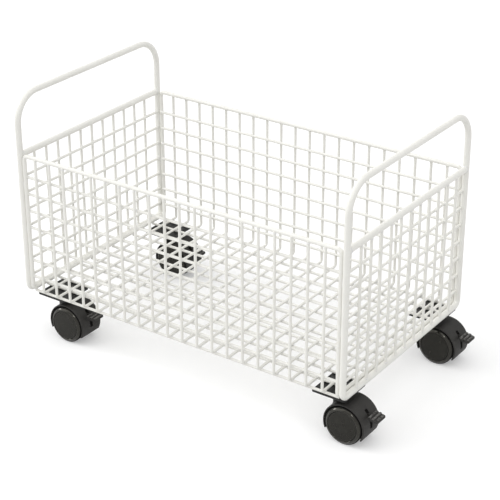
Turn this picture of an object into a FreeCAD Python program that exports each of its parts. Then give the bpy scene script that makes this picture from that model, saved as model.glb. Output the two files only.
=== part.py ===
"""Rolling book cart: a coated wire basket with two handle hoops on four braked twin-wheel casters.

Millimetres, +Z up. The origin is on the floor, at the middle of the whole cart's box.
+X is the long way of the basket, the way that the brake pedals point. -Y is the front.
"""
import math
import os

import FreeCAD
import Part

Vector = FreeCAD.Vector

# Wire mesh
mesh_pitch = 25.0
row_pitch = 26.0
side_uprights = 20
end_uprights = 11
mesh_rows = 7
mesh_wire = 4.0
side_margin = 22.0
end_margin = 30.5
top_gap = 32.5
bottom_gap = 24.5
floor_edge_inset = 5.5

# Side frames and end hoops
frame_wire = 6.0
rim_bend = 6.0
hoop_rod = 9.0
handle_rise = 85.0
handle_bend = 40.0
rail_bend = 9.0

# Casters
wheel_diameter = 55.0
wheel_width = 16.5
wheel_gap = 0.5
wheel_rim_width = 4.4
wheel_face_recess = 0.5
wheel_edge_round = 3.4
wheel_inner_bevel = 0.6
wheel_wall = 4.0
hub_diameter = 15.0
hub_depth = 12.0
axle_diameter = 6.0
axle_end_gap = 0.3
trail = 20.0
hood_wall = 2.2
hood_clearance = 1.3
hood_setback = 2.5
hood_edge_round = 1.5
hood_front_angle = -28.0
hood_back_angle = 204.0
web_thickness = 12.0
axle_boss = 18.0
neck_height = 9.0
neck_boss = 14.0
bush_diameter = 13.0
thrust_gap = 0.3
boss_rise = 1.5
kingpin_diameter = 7.0
kingpin_head = 10.0
kingpin_head_height = 3.0
kingpin_seat = 6.5
plate_length = 51.0
plate_width = 53.5
plate_thickness = 2.5
plate_corner = 3.0
caster_setback = 31.0
caster_inset = 30.25
caster_shift = 7.0

# Brake pedal
pivot_radius = 16.0
pivot_angle = 47.0
pivot_boss = 8.0
pin_diameter = 3.0
lever_thickness = 3.0
lever_depth = 4.0
lever_clearance = 0.5
pocket_angle = 75.0
press_angle = 12.0
bar_diameter = 2.5
bar_length = 28.0
bar_wall = 1.4
bar_angle = 60.0
bar_gap = 0.96
slot_low_angle = -5.0
slot_high_angle = 47.0
pedal_width = 21.0
pedal_reach = 15.0
pedal_gap = 5.0
pedal_high_angle = 32.0
pedal_low_angle = 24.0
pedal_drop = 2.5
pedal_tip = 2.5
pedal_ribs = 5
rib_width = 1.2
rib_height = 1.2

# Shaft running clearance on the radius
running = 0.05

# Heights, from the floor up
wheel_radius = wheel_diameter / 2
hood_inner = wheel_radius + hood_clearance
hood_outer = hood_inner + hood_wall
axle_z = wheel_radius
plate_bottom = axle_z + hood_outer + neck_height
base_z = plate_bottom + plate_thickness
long_z = base_z + mesh_wire / 2
cross_z = long_z + mesh_wire
rail_z = base_z + hoop_rod / 2
foot_z = long_z + mesh_wire / 2
base_wire_z = foot_z + frame_wire / 2
row_z = [long_z + bottom_gap + row_pitch * k for k in range(mesh_rows)]
rim_z = row_z[-1] + top_gap
handle_z = rim_z + handle_rise

# Plan of the basket, from its own middle
leg_x = mesh_pitch * (side_uprights - 1) / 2 + side_margin
hoop_x = leg_x + (frame_wire + hoop_rod) / 2
frame_y = mesh_pitch * (end_uprights - 1) / 2 + end_margin
upright_x = [mesh_pitch * (i - (side_uprights - 1) / 2) for i in range(side_uprights)]
upright_y = [mesh_pitch * (i - (end_uprights - 1) / 2) for i in range(end_uprights)]
floor_edge_y = frame_y - floor_edge_inset

# The basket's middle is set so that the origin is mid-way along the whole cart
pedal_tip_x = hood_outer + pedal_reach
stem_out = hoop_x - caster_setback
reach_right = stem_out + caster_shift + trail + pedal_tip_x
reach_left = hoop_x + hoop_rod / 2
basket_x = (reach_left - reach_right) / 2
stem_y = frame_y - caster_inset

# Wheel and hood half widths, from the caster's middle
wheel_inner = web_thickness / 2 + wheel_gap
wheel_outer = wheel_inner + wheel_width
hood_half = wheel_outer - hood_setback

# The wheels' inner rims are the drums that the brake bar is pressed against
drum_radius = wheel_radius - wheel_wall
bar_radius = drum_radius - bar_diameter / 2 - bar_gap


def rod(start, end, diameter):
    """A round straight rod between two points."""
    run = end.sub(start)
    return Part.makeCylinder(diameter / 2, run.Length, start, run)


def bent_rod(corners, bends, diameter):
    """A round rod along straight runs, with an arc of the given radius at each inner corner."""
    edges = []
    start = corners[0]
    for before, corner, after, radius in zip(corners, corners[1:], corners[2:], bends):
        back = before.sub(corner).normalize()
        on = after.sub(corner).normalize()
        half = back.getAngle(on) / 2
        cut = radius / math.tan(half)
        first = corner.add(Vector(back).multiply(cut))
        last = corner.add(Vector(on).multiply(cut))
        inward = back.add(on).normalize()
        middle = corner.add(inward.multiply(radius / math.sin(half) - radius))
        edges.append(Part.LineSegment(start, first).toShape())
        edges.append(Part.Arc(first, middle, last).toShape())
        start = last
    edges.append(Part.LineSegment(start, corners[-1]).toShape())
    path = Part.Wire(edges)
    section = Part.Wire(Part.makeCircle(diameter / 2, corners[0], corners[1].sub(corners[0])))
    return path.makePipeShell([section], True, False)


def place(x, y, z):
    """A point given from the basket's middle."""
    return Vector(basket_x + x, y, z)


def coped(wires, frame):
    """The wires, each cut to sit against the frame that it is welded to."""
    return [wire.cut(frame) for wire in wires]


def about_axle(points, angle, start=0.0):
    """A solid turned about the axle from (radius, y) points. Four numbers are an arc's end and middle."""
    edges = []
    last = Vector(points[0][0], points[0][1], 0)
    for point in points[1:] + points[:1]:
        end = Vector(point[0], point[1], 0)
        if len(point) > 2:
            edges.append(Part.Arc(last, Vector(point[2], point[3], 0), end).toShape())
        else:
            edges.append(Part.LineSegment(last, end).toShape())
        last = end
    face = Part.Face(Part.Wire(edges))
    face.rotate(Vector(), Vector(0, -1, 0), start)
    return face.revolve(Vector(), Vector(0, -1, 0), angle)


def polar(radius, degrees, y=0.0):
    """A point at a radius and an angle about the axle, with 0 along +X and 90 up."""
    turn = math.radians(degrees)
    return Vector(radius * math.cos(turn), y, radius * math.sin(turn))


def slab(outline, thickness):
    """A plate of the given thickness about y 0, from points of its outline."""
    low = [Vector(p.x, -thickness / 2, p.z) for p in outline]
    return Part.Face(Part.makePolygon(low + low[:1])).extrude(Vector(0, thickness, 0))


def round_corner(start_r, start_y, end_r, end_y, centre_r, centre_y, radius):
    """An arc's end followed by its middle, for a quarter round about the given centre."""
    along = Vector(start_r + end_r - 2 * centre_r, start_y + end_y - 2 * centre_y, 0).normalize()
    return (end_r, end_y, centre_r + radius * along.x, centre_y + radius * along.y)


def end_hoop(side):
    """Posts, handle and bottom rail of one end, bent from one rod and closed in the rail."""
    x = side * hoop_x
    halves = []
    for front in (-1, 1):
        corners = [
            place(x, 0, rail_z),
            place(x, front * frame_y, rail_z),
            place(x, front * frame_y, handle_z),
            place(x, 0, handle_z),
        ]
        halves.append(bent_rod(corners, [rail_bend, handle_bend], hoop_rod))
    return halves[0].fuse(halves[1]).removeSplitter()


def end_crossbar(side, hoop):
    """The straight bar between the posts, level with the side rims."""
    x = side * hoop_x
    bar = rod(place(x, -frame_y, rim_z), place(x, frame_y, rim_z), hoop_rod)
    return bar.cut(hoop)


def end_base_wire(side):
    """The wire beside the rail of one end, from leg to leg, on the ends of the long floor wires."""
    x = side * leg_x
    half = frame_y - frame_wire / 2
    return rod(place(x, -half, base_wire_z), place(x, half, base_wire_z), frame_wire)


def side_frame(front):
    """Top rim and two legs of one long side, bent from one wire."""
    y = front * frame_y
    corners = [
        place(-leg_x, y, foot_z),
        place(-leg_x, y, rim_z),
        place(leg_x, y, rim_z),
        place(leg_x, y, foot_z),
    ]
    return bent_rod(corners, [rim_bend, rim_bend], frame_wire)


def side_upright_wires(front, frame):
    """The uprights of one long side: outside the rows, turned in over the outermost long wire."""
    outer = front * (frame_y + mesh_wire / 2)
    turned = front * (frame_y - mesh_wire / 2)
    wires = []
    for x in upright_x:
        corners = [
            place(x, turned, cross_z),
            place(x, outer, cross_z),
            place(x, outer, rim_z),
        ]
        wires.append(upright_with_bend(corners))
    return coped(wires, frame)


def upright_with_bend(corners):
    """One upright: a quarter bend as tight as the wire, then straight up."""
    foot, corner, top = corners
    inward = foot.sub(corner).normalize()
    bend = mesh_wire
    bend_start = corner.add(Vector(inward).multiply(bend))
    bend_end = corner.add(Vector(0, 0, bend))
    centre = bend_start.add(Vector(0, 0, bend))
    middle = centre.add(corner.sub(centre).normalize().multiply(bend))
    arc = Part.Wire([Part.Arc(bend_start, middle, bend_end).toShape()])
    section = Part.Wire(Part.makeCircle(mesh_wire / 2, bend_start, inward))
    turn = arc.makePipeShell([section], True, False)
    return turn.fuse(rod(bend_end, top, mesh_wire)).removeSplitter()


def side_row_wires(front, frame):
    """The level wires of one long side, inside the uprights."""
    y = front * (frame_y - mesh_wire / 2)
    wires = []
    for z in row_z:
        wires.append(rod(place(-leg_x, y, z), place(leg_x, y, z), mesh_wire))
    return coped(wires, frame)


def floor_cross_wires():
    """The floor wires that join the front uprights to the back ones."""
    half = frame_y + mesh_wire / 2 - mesh_wire
    wires = []
    for x in upright_x:
        wires.append(rod(place(x, -half, cross_z), place(x, half, cross_z), mesh_wire))
    return wires


def floor_long_wires():
    """The floor wires that lie along the basket, under the cross wires and the base wires."""
    wires = []
    for y in [-floor_edge_y] + upright_y + [floor_edge_y]:
        wires.append(rod(place(-leg_x, y, long_z), place(leg_x, y, long_z), mesh_wire))
    return wires


def end_upright_wires(side, frame):
    """The uprights of one end, on the outer side of its rows, from the rail to the crossbar."""
    x = side * (hoop_x + mesh_wire / 2)
    wires = []
    for y in upright_y:
        wires.append(rod(place(x, y, rail_z), place(x, y, rim_z), mesh_wire))
    return coped(wires, frame)


def end_row_wires(side, hoop):
    """The level wires of one end, from post to post."""
    x = side * (hoop_x - mesh_wire / 2)
    wires = []
    for z in row_z:
        wires.append(rod(place(x, -frame_y, z), place(x, frame_y, z), mesh_wire))
    return coped(wires, hoop)


def caster_plate():
    """The flat plate under the floor wires, with the hole that the kingpin is riveted in."""
    half_x = plate_length / 2
    half_y = plate_width / 2
    plate = Part.makeBox(plate_length, plate_width, plate_thickness, Vector(-half_x, -half_y, plate_bottom))
    upright_edges = [e for e in plate.Edges if abs(e.Vertexes[0].Z - e.Vertexes[1].Z) > plate_thickness / 2]
    plate = plate.makeFillet(plate_corner, upright_edges)
    hole = rod(Vector(0, 0, plate_bottom), Vector(0, 0, base_z), kingpin_diameter)
    return plate.cut(hole)


def swivel_bush():
    """The thrust bush between the plate and the hood's neck."""
    low = axle_z + hood_outer + boss_rise + thrust_gap
    bush = rod(Vector(0, 0, low), Vector(0, 0, plate_bottom), bush_diameter)
    return bush.cut(rod(Vector(0, 0, low), Vector(0, 0, plate_bottom), kingpin_diameter))


def kingpin():
    """The swivel pin: riveted flush in the plate, with a head under the hood's web."""
    seat = axle_z + kingpin_seat - thrust_gap
    shank = rod(Vector(0, 0, seat), Vector(0, 0, base_z), kingpin_diameter)
    head = rod(Vector(0, 0, seat - kingpin_head_height), Vector(0, 0, seat), kingpin_head)
    return shank.fuse(head).removeSplitter()


def pivot_point():
    """The pedal pivot, from the axle."""
    return polar(pivot_radius, pivot_angle)


def bar_point(press=0.0):
    """The brake bar's middle, from the axle, with the pedal pressed by the given angle."""
    arm = polar(bar_radius, bar_angle).sub(pivot_point())
    turn = FreeCAD.Rotation(Vector(0, 1, 0), press)
    return pivot_point().add(turn.multVec(arm))


def hood_shell():
    """The arched cover over both wheels, with rounded outer edges."""
    edge = hood_outer - hood_edge_round
    side = hood_half - hood_edge_round
    section = [
        (hood_inner, -hood_half),
        (edge, -hood_half),
        round_corner(edge, -hood_half, hood_outer, -side, edge, -side, hood_edge_round),
        (hood_outer, side),
        round_corner(hood_outer, side, edge, hood_half, edge, side, hood_edge_round),
        (hood_inner, hood_half),
    ]
    return about_axle(section, hood_back_angle - hood_front_angle, hood_front_angle)


def hood():
    """The caster body: cover, web between the wheels, axle boss and swivel neck, about the axle."""
    web_half = web_thickness / 2
    overlap = hood_wall / 2
    web_section = [
        (0.0, -web_half),
        (hood_inner + overlap, -web_half),
        (hood_inner + overlap, web_half),
        (0.0, web_half),
    ]
    web = about_axle(web_section, hood_back_angle - hood_front_angle, hood_front_angle)
    boss = rod(Vector(0, -web_half, 0), Vector(0, web_half, 0), axle_boss)
    neck = rod(Vector(-trail, 0, 0), Vector(-trail, 0, hood_outer + boss_rise), neck_boss)
    wheel_space = rod(Vector(0, -hood_half, 0), Vector(0, hood_half, 0), 2 * hood_inner)
    body = hood_shell().multiFuse([web, boss, neck.cut(wheel_space)])
    return body.cut(Part.makeCompound(hood_cuts())).removeSplitter()


def hood_cuts():
    """Kingpin bore and head room, axle bore, pedal slot and pocket, pin hole and brake bar window."""
    wide = hood_half
    head_room = kingpin_head / 2 + thrust_gap
    bore = rod(Vector(-trail, 0, 0), Vector(-trail, 0, 2 * hood_outer), kingpin_diameter + 2 * running)
    corner = Vector(-hood_outer, -wide, -hood_outer)
    under_web = Part.makeBox(
        hood_outer - trail + head_room, 2 * wide, hood_outer + kingpin_seat, corner
    )
    head_cut = under_web.common(rod(Vector(0, -wide, 0), Vector(0, wide, 0), 2 * hood_inner))
    axle_bore = rod(Vector(0, -wide, 0), Vector(0, wide, 0), axle_diameter)
    slot = pedal_slot(2 * hood_outer, slot_high_angle)
    pocket_outer = bar_point(press_angle).Length + bar_diameter / 2 + bar_wall + lever_clearance
    pocket = pedal_slot(pocket_outer, pocket_angle)
    pin_hole = across_web(pivot_point(), pin_diameter)
    travel = bar_point(press_angle).sub(bar_point())
    window_size = bar_diameter + 2 * lever_clearance + travel.Length
    window = across_web(bar_point().add(travel.multiply(0.5)), window_size)
    return [bore, head_cut, axle_bore, slot, pocket, pin_hole, window]


def pedal_slot(outer, high_angle):
    """The lever's room in the middle of the web, out to a radius and up to an angle."""
    half = lever_thickness / 2 + lever_clearance
    inner = pivot_radius - pivot_boss / 2 - lever_clearance
    section = [(inner, -half), (outer, -half), (outer, half), (inner, half)]
    return about_axle(section, high_angle - slot_low_angle, slot_low_angle)


def across_web(point, diameter):
    """A round pin or hole across the whole web."""
    half = Vector(0, web_thickness / 2, 0)
    return rod(point.sub(half), point.add(half), diameter)


def axle():
    """The pin through the web that both wheels turn on."""
    half = wheel_inner + hub_depth - axle_end_gap
    return rod(Vector(0, -half, 0), Vector(0, half, 0), axle_diameter)


def wheel(side):
    """One moulded wheel: closed outer face with a raised rim, hollow behind, hub on the axle."""
    face = wheel_outer - wheel_face_recess
    rim_in = wheel_radius - wheel_rim_width
    bevel = wheel_face_recess
    edge = wheel_radius - wheel_edge_round
    shoulder = wheel_outer - wheel_edge_round
    cavity_y = wheel_outer - wheel_wall
    hub_r = hub_diameter / 2
    bore_r = axle_diameter / 2 + running
    bore_end = wheel_inner + hub_depth
    section = [
        (0.0, face),
        (rim_in, face),
        (rim_in + bevel, wheel_outer),
        (edge, wheel_outer),
        round_corner(edge, wheel_outer, wheel_radius, shoulder, edge, shoulder, wheel_edge_round),
        (wheel_radius, wheel_inner + wheel_inner_bevel),
        (wheel_radius - wheel_inner_bevel, wheel_inner),
        (drum_radius, wheel_inner),
        (drum_radius, cavity_y),
        (hub_r, cavity_y),
        (hub_r, wheel_inner),
        (bore_r, wheel_inner),
        (bore_r, bore_end),
        (0.0, bore_end),
    ]
    turned = about_axle(section, 360.0)
    if side < 0:
        turned.rotate(Vector(), Vector(0, 0, 1), 180.0)
    return turned


def pedal():
    """The brake pedal: pivot boss, bar arm, lever through the hood's slot and a ribbed foot plate outside."""
    pivot = pivot_point()
    bar = bar_point()
    across = Vector(0, lever_thickness / 2, 0)
    boss = rod(pivot.sub(across), pivot.add(across), pivot_boss)
    lobe_size = bar_diameter + 2 * bar_wall
    lobe = rod(bar.sub(across), bar.add(across), lobe_size)
    beside = Vector(lobe_size / 2, 0, 0)
    bar_arm = slab([pivot.sub(beside), bar.sub(beside), bar.add(beside), pivot.add(beside)], lever_thickness)
    root_top = polar(hood_outer + pedal_gap, pedal_high_angle)
    root_low = polar(hood_outer + pedal_gap, pedal_low_angle)
    tip_top = Vector(pedal_tip_x, 0, root_top.z - pedal_drop)
    tip_low = Vector(pedal_tip_x, 0, tip_top.z - pedal_tip)
    foot = slab([root_top, tip_top, tip_low, root_low], pedal_width)
    lift = Vector(0, 0, lever_depth / 2)
    lever = slab([pivot.add(lift), root_top, root_low, pivot.sub(lift)], lever_thickness)
    ribs = pedal_rib_bars(root_top, tip_top)
    body = foot.multiFuse([lever, boss, bar_arm, lobe] + ribs).removeSplitter()
    pin_hole = across_web(pivot, pin_diameter + 2 * running)
    return body.cut(Part.makeCompound([pin_hole, across_web(bar, bar_diameter)]))


def pedal_rib_bars(root, tip):
    """Ribs across the top of the foot plate, evenly spaced from root to tip."""
    run = tip.sub(root)
    step = run.Length / pedal_ribs
    along = Vector(run).normalize()
    up = Vector(-along.z, 0, along.x)
    bars = []
    for k in range(pedal_ribs):
        near = root.add(Vector(along).multiply(step * (k + 0.5) - rib_width / 2))
        far = near.add(Vector(along).multiply(rib_width))
        rise = Vector(up).multiply(rib_height)
        sink = Vector(up).multiply(-rib_height)
        bars.append(slab([near.add(sink), near.add(rise), far.add(rise), far.add(sink)], pedal_width))
    return bars


def pedal_pin():
    """The pin that the pedal turns on, pressed in the web's two cheeks."""
    return across_web(pivot_point(), pin_diameter)


def brake_bar():
    """The bar in the pedal's lobe that is pressed against the inner rims of both wheels."""
    half = Vector(0, bar_length / 2, 0)
    return rod(bar_point().sub(half), bar_point().add(half), bar_diameter)


def moved(shape, x, y, z):
    """A copy of the shape, shifted."""
    copy = shape.copy()
    copy.translate(Vector(x, y, z))
    return copy


def basket_nodes():
    """Every basket piece or group of like wires, by name."""
    nodes = {}
    for name, side in (("left", -1), ("right", 1)):
        hoop = end_hoop(side)
        crossbar = end_crossbar(side, hoop)
        nodes[name + "_end_base_wire"] = end_base_wire(side)
        nodes[name + "_end_hoop"] = hoop
        nodes[name + "_end_crossbar"] = crossbar
        frame = Part.makeCompound([hoop, crossbar])
        nodes[name + "_end_upright_wires"] = Part.makeCompound(end_upright_wires(side, frame))
        nodes[name + "_end_row_wires"] = Part.makeCompound(end_row_wires(side, hoop))
    for name, front in (("front", -1), ("back", 1)):
        frame = side_frame(front)
        nodes[name + "_side_frame"] = frame
        nodes[name + "_upright_wires"] = Part.makeCompound(side_upright_wires(front, frame))
        nodes[name + "_row_wires"] = Part.makeCompound(side_row_wires(front, frame))
    nodes["floor_cross_wires"] = Part.makeCompound(floor_cross_wires())
    nodes["floor_long_wires"] = Part.makeCompound(floor_long_wires())
    return nodes


def caster_nodes():
    """Every piece of the four casters, by name. All four trail the same way."""
    at_stem = {"plate": caster_plate(), "swivel_bush": swivel_bush(), "kingpin": kingpin()}
    at_axle = {
        "hood": hood(),
        "axle": axle(),
        "front_wheel": wheel(-1),
        "back_wheel": wheel(1),
        "brake_pedal": pedal(),
        "pedal_pin": pedal_pin(),
        "brake_bar": brake_bar(),
    }
    nodes = {}
    for along, side in (("left", -1), ("right", 1)):
        for across, front in (("front", -1), ("back", 1)):
            corner = across + "_" + along + "_caster_"
            stem_x = basket_x + side * stem_out + caster_shift
            for name, shape in at_stem.items():
                nodes[corner + name] = moved(shape, stem_x, front * stem_y, 0)
            for name, shape in at_axle.items():
                nodes[corner + name] = moved(shape, stem_x + trail, front * stem_y, axle_z)
    return nodes


def main():
    """Writes one STEP file for each node."""
    os.makedirs("parts", exist_ok=True)
    nodes = {**basket_nodes(), **caster_nodes()}
    for name, shape in nodes.items():
        shape.exportStep("parts/" + name + ".step")


main()
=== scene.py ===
"""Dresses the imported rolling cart: coated and welded wire, moulded twin-wheel casters, studio and camera."""

import itertools
import math

import bmesh
import bpy
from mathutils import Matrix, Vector


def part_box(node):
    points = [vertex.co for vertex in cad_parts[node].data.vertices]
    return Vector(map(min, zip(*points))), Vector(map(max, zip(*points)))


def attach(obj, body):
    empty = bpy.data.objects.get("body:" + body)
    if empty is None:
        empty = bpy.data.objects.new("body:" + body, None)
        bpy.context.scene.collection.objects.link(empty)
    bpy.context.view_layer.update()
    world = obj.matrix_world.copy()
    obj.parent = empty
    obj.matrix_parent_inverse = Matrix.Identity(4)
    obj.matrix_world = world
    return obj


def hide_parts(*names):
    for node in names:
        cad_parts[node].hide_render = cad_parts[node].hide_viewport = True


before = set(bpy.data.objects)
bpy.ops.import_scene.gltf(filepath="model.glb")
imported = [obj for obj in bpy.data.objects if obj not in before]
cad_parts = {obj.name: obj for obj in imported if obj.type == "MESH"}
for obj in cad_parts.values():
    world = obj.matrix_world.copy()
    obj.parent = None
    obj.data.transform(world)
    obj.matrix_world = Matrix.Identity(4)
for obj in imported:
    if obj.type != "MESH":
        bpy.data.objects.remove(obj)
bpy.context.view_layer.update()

MM = 0.001

# Counts of the welded mesh
side_uprights = 20
end_uprights = 11
floor_wires = 13
mesh_rows = 7

# Roundness of the rods and bends
thin_sides = 16
thick_sides = 28
bend_steps = 9

# Bends of the rods, measured to the rod's middle
wire_bend = 4 * MM
frame_bend = 6 * MM
rail_bend = 9 * MM
handle_bend = 40 * MM

# Weld nuggets: reach along both wires and through the joint
nugget_reach = 2.2 * MM
nugget_depth = 1.5 * MM
nugget_spread = 0.12
nugget_segments = 10
nugget_rings = 6
collar_swell = 1.1
frame_sink = 0.9
hoop_sink = 0.94
post_sink = 0.95
bar_collar_swell = 1.14
seam_welds = 3
seam_start_share = 0.35
seam_weld_half = (1.1 * MM, 1.9 * MM, 8 * MM)

# Caster hood, about the axle
hood_front_angle = -28.0
hood_back_angle = 204.0
slot_low_angle = -5.0
slot_high_angle = 47.0
pocket_angle = 75.0
hood_wall = 2.2 * MM
hood_edge_round = 1.5 * MM
hood_lip = 0.5 * MM
slot_half = 2.75 * MM
web_half = 6.0 * MM
pocket_radius = 11.5 * MM
axle_boss_radius = 9.0 * MM
kingpin_seat = 6.5 * MM
head_room = 5.3 * MM
neck_radius = 7.0 * MM
boss_rise = 1.5 * MM
arc_step = 3.5
edge_steps = 4
angle_hair = 0.01

# The neck's flare, as radius and lift over the hood, and its top edge, as set-in and drop
neck_steps = 40
neck_flare = [(10.0 * MM, -0.25 * MM), (8.9 * MM, 0.12 * MM), (8.0 * MM, 0.65 * MM), (7.35 * MM, 1.5 * MM),
              (7.05 * MM, 2.6 * MM)]
neck_edge = [(0.0, 0.6 * MM), (0.2 * MM, 0.2 * MM), (0.6 * MM, 0.0)]

# Wheels: a glossy disc with a groove and a broad bead, in front of a dull tread; the finish paints a sheen on
# the bead and shade on the tread
groove_radius = 21.6 * MM
crest_radius = 22.9 * MM
face_recess = 0.5 * MM
face_dome = 0.4 * MM
face_shares = (0.25, 0.5, 0.75, 0.93, 1.0)
groove_half = 0.6 * MM
groove_floor = [(-0.25 * MM, 0.63 * MM), (0.0, 0.9 * MM), (0.25 * MM, 0.54 * MM)]
bead_foot = 0.2 * MM
bead_margin = 0.1 * MM
bead_arcs = [(2.0 * MM, 0, 33, 4), (8.0 * MM, 33, 53, 6), (0.6 * MM, 53, 88, 4)]
shoulder_drop = 0.2 * MM
shoulder_step = 0.05 * MM
tread_drop = 0.1 * MM
tread_round = 0.6 * MM
tread_round_angles = (30, 60, 90)
inner_round = 0.6 * MM
inner_ease = 0.2 * MM
tread_start = 1.1 * MM
wheel_wall = 4.0 * MM
hub_radius = 7.5 * MM
hub_depth = 12.0 * MM
axle_radius = 3.05 * MM
wheel_steps = 80
wheel_crease = 40.0

# Brake pedal, about the axle
pivot_radius = 16.0 * MM
pivot_angle = 47.0
pivot_boss_radius = 4.0 * MM
lever_half = 1.5 * MM
lever_half_depth = 2.0 * MM
bar_radius_from_axle = 21.29 * MM
bar_angle = 60.0
bar_lobe_radius = 2.65 * MM
pedal_gap = 5.0 * MM
pedal_high_angle = 32.0
pedal_low_angle = 24.0
pedal_drop = 2.5 * MM
pedal_tip = 2.5 * MM
pedal_ribs = 3
rib_width = 3.1 * MM
rib_height = 1.2 * MM
pedal_corner = 2.4 * MM
pedal_corner_steps = 4
lobe_sides = 24

# Mounting plate
plate_corner = 3.0 * MM
plate_corner_steps = 6

# Small rounds on moulded edges, and the wear on them
hood_soften = 0.3 * MM
pedal_soften = 0.25 * MM
plate_soften = 0.35 * MM
soften_steps = 2
soften_angle = 32.0
rub_gain = 9.0
# Rib tops: lightened as shoe wear and as a painted highlight of their lit tops
rib_top_wear_and_highlight = 5.0
rib_rub_share = 0.6
dust_tint = (0.2, 0.195, 0.185, 1)
hair = 0.01 * MM

# Studio, and the camera at the photograph's viewing angle
dome_level = 0.7
floor_reach = 9.0
floor_tone = 0.72
floor_lift = 0.3
camera_lens = 108.0
camera_sensor = 36.0
camera_place = (1.0808, -1.5625, 1.0942)
camera_azimuth = 34.75
camera_elevation = 26.33
camera_reach = 60.0

# Lamps, as azimuth, elevation, strength and softness
lamps = {
    "camera_side_lamp": (28.0, 42.0, 0.28, 9.0),
    "left_lamp": (-78.0, 20.0, 0.5, 12.0),
    "left_softbox": (-60.0, 36.0, 0.7, 50.0),
    "overhead_lamp": (0.0, 80.0, 0.8, 60.0),
}

corners = ["front_left", "front_right", "back_left", "back_right"]


# Shader node groups that several finishes share

def shader_group(name, inputs, outputs):
    """An empty shader group with named sockets, and its way in and out."""
    group = bpy.data.node_groups.new(name, "ShaderNodeTree")
    for label, kind, start in inputs:
        group.interface.new_socket(label, in_out="INPUT", socket_type=kind).default_value = start
    for label, kind in outputs:
        group.interface.new_socket(label, in_out="OUTPUT", socket_type=kind)
    return group, group.nodes.new("NodeGroupInput"), group.nodes.new("NodeGroupOutput")


def enabled(sockets, label):
    """The socket of that name that is in use."""
    return next(s for s in sockets if s.name == label and s.enabled)


def add_node(tree, kind, inputs=None, **settings):
    """A node with its settings made and its inputs linked or filled in."""
    made = tree.nodes.new(kind)
    for key, value in settings.items():
        setattr(made, key, value)
    for label, source in (inputs or {}).items():
        socket = made.inputs[label] if isinstance(label, int) else enabled(made.inputs, label)
        if isinstance(source, bpy.types.NodeSocket):
            tree.links.new(source, socket)
        else:
            socket.default_value = source
    return made


def maths(tree, operation, *values, **settings):
    """The outcome of one operation on numbers or sockets."""
    made = add_node(tree, "ShaderNodeMath", dict(enumerate(values)), operation=operation, **settings)
    return made.outputs[0]


def ranged(tree, value, low, high, to_low=0.0, to_high=1.0):
    """A value carried from one range over to another, held at its ends."""
    made = add_node(tree, "ShaderNodeMapRange", {
        "Value": value, "From Min": low, "From Max": high, "To Min": to_low, "To Max": to_high})
    return made.outputs["Result"]


def noise(tree, scale, detail, roughness=0.5):
    """Noise on the piece's Object coordinates."""
    where = add_node(tree, "ShaderNodeTexCoord")
    made = add_node(tree, "ShaderNodeTexNoise", {
        "Vector": where.outputs["Object"], "Scale": scale, "Detail": detail, "Roughness": roughness})
    return made.outputs[0]


def attribute(tree, name):
    """A value that the piece's mesh carries."""
    return add_node(tree, "ShaderNodeAttribute", attribute_name=name).outputs["Fac"]


def laid_over(tree, colour, mask, over):
    """The colour with another laid over it where the mask is."""
    mix = add_node(tree, "ShaderNodeMix", {"Factor": mask, "A": colour, "B": over}, data_type="RGBA")
    return enabled(mix.outputs, "Result")


def drifting_tint():
    """Colour that drifts between two near tints in soft patches."""
    group, enter, leave = shader_group(
        "drifting tint",
        [("Tint", "NodeSocketColor", (0.8, 0.8, 0.8, 1)),
         ("Second Tint", "NodeSocketColor", (0.7, 0.7, 0.7, 1)),
         ("Patch Scale", "NodeSocketFloat", 20.0)],
        [("Colour", "NodeSocketColor")])
    patches = ranged(group, noise(group, enter.outputs["Patch Scale"], 4.0, 0.6), 0.36, 0.66)
    colour = laid_over(group, enter.outputs["Tint"], patches, enter.outputs["Second Tint"])
    group.links.new(colour, leave.inputs["Colour"])
    return group


def fine_grain():
    """Fine surface grain: a height for bump and a roughness that wanders."""
    group, enter, leave = shader_group(
        "fine grain",
        [("Grain Scale", "NodeSocketFloat", 900.0), ("Wander Scale", "NodeSocketFloat", 60.0),
         ("Low Roughness", "NodeSocketFloat", 0.35), ("High Roughness", "NodeSocketFloat", 0.5)],
        [("Height", "NodeSocketFloat"), ("Roughness", "NodeSocketFloat")])
    wander = noise(group, enter.outputs["Wander Scale"], 5.0)
    level = ranged(group, wander, 0.3, 0.7, enter.outputs["Low Roughness"], enter.outputs["High Roughness"])
    group.links.new(noise(group, enter.outputs["Grain Scale"], 2.0), leave.inputs["Height"])
    group.links.new(level, leave.inputs["Roughness"])
    return group


def rubbed_edges():
    """Mask of the outer edges that hands, feet and floors rub, broken up by noise; on the pedal's rib tops it
    also carries a painted highlight.
    """
    group, enter, leave = shader_group(
        "rubbed edges",
        [("Amount", "NodeSocketFloat", 0.5), ("Break Scale", "NodeSocketFloat", 180.0)],
        [("Mask", "NodeSocketFloat")])
    breaks = ranged(group, noise(group, enter.outputs["Break Scale"], 4.0), 0.38, 0.68)
    worn = maths(group, "MULTIPLY", attribute(group, "rubbed"), breaks)
    amount = maths(group, "MULTIPLY", worn, enter.outputs["Amount"], use_clamp=True)
    group.links.new(amount, leave.inputs["Mask"])
    return group


def settled_dust():
    """Mask of a thin film of dust on faces that look up."""
    group, enter, leave = shader_group(
        "settled dust",
        [("Amount", "NodeSocketFloat", 0.2), ("Fleck Scale", "NodeSocketFloat", 400.0)],
        [("Mask", "NodeSocketFloat")])
    where = add_node(group, "ShaderNodeTexCoord")
    facing = add_node(group, "ShaderNodeSeparateXYZ", {"Vector": where.outputs["Normal"]})
    upward = ranged(group, facing.outputs["Z"], 0.3, 1.0)
    flecks = ranged(group, noise(group, enter.outputs["Fleck Scale"], 3.0), 0.4, 0.75)
    film = maths(group, "MULTIPLY", upward, flecks)
    amount = maths(group, "MULTIPLY", film, enter.outputs["Amount"], use_clamp=True)
    group.links.new(amount, leave.inputs["Mask"])
    return group


tint_group = drifting_tint()
grain_group = fine_grain()
rubbed_group = rubbed_edges()
dust_group = settled_dust()


# Finishes

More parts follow.
